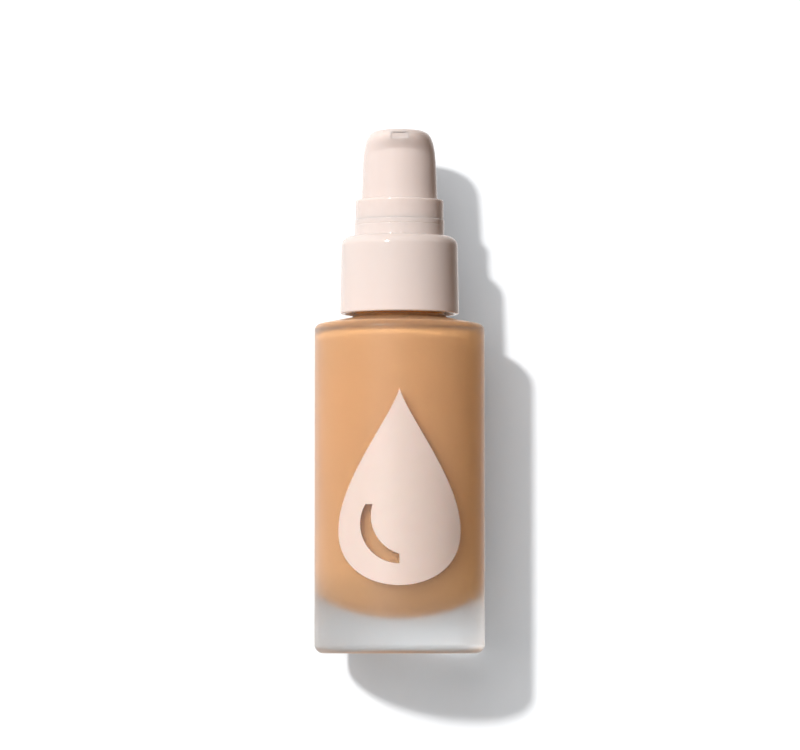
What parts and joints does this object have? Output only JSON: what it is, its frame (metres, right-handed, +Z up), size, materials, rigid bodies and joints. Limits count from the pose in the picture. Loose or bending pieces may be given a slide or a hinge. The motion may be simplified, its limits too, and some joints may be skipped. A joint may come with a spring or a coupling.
{
  "type": "foundation bottle",
  "caption": "Frosted, thick-based glass cylinder bottle filled with liquid make-up, with a collared treatment pump, dip tube and thimble-shaped press head with a beak.",
  "frame": {"origin": "middle of the standing base, on the surface that it stands on", "axes": "+Z up along the bottle's axis from base to head; the beak and the print face -Y"},
  "size_m": [0.0346, 0.0347, 0.1064],
  "materials": {
    "frosted_glass": "acid-etched frosted",
    "foundation": "creamy liquid make-up",
    "print_ink": "screen-printed ink",
    "pink_plastic": "satin moulded",
    "inner_pink_plastic": "moulded",
    "natural_plastic": "natural moulded",
    "tube_plastic": "extruded translucent",
    "seal_rubber": "soft elastomer",
    "spring_steel": "drawn wire",
    "ball_steel": "polished"
  },
  "bodies": {
    "bottle": {"bottle_glass": "frosted_glass", "foundation_fluid": "foundation", "printed_motif": "print_ink"},
    "pump": {"pump_housing": "natural_plastic", "housing_cap": "natural_plastic", "stem_seal": "seal_rubber", "neck_gasket": "seal_rubber", "ball_retainer": "natural_plastic", "return_spring": "spring_steel", "dip_tube": "tube_plastic"},
    "closure": {"collar_shell": "pink_plastic", "screw_closure": "inner_pink_plastic", "guide_sleeve": "pink_plastic"},
    "plunger": {"stem": "natural_plastic", "piston_rod": "natural_plastic"},
    "piston": {"piston": "natural_plastic"},
    "inlet_ball": {"inlet_ball": "ball_steel"},
    "actuator": {"actuator_shell": "pink_plastic", "actuator_core": "inner_pink_plastic", "nozzle_insert": "pink_plastic"}
  },
  "joints": [
    {"name": "closure_lift", "type": "slide", "parent": "bottle", "child": "pump", "axis": [0, 0, 1], "range_m": [0, 0.00397]},
    {"name": "closure_turn", "type": "hinge", "parent": "pump", "child": "closure", "pos_m": [0, 0, 0.076], "axis": [0, 0, 1], "range_deg": [0, 450]},
    {"name": "pump_stroke", "type": "slide", "parent": "pump", "child": "plunger", "axis": [0, 0, -1], "range_m": [0, 0.0046], "stiffness_N_per_m": 250, "springref_m": -0.002, "deforming": ["return_spring"]},
    {"name": "piston_slip", "type": "slide", "parent": "plunger", "child": "piston", "axis": [0, 0, 1], "range_m": [0, 0.0008]},
    {"name": "inlet_ball_lift", "type": "slide", "parent": "pump", "child": "inlet_ball", "axis": [0, 0, 1], "range_m": [0, 0.001]},
    {"name": "actuator_turn", "type": "hinge", "parent": "plunger", "child": "actuator", "pos_m": [0, 0, 0.095], "axis": [0, 0, 1], "continuous": true}
  ],
  "couplings": [
    {"joint": "closure_turn", "follows": "closure_lift", "rad_per_m": 1979}
  ]
}
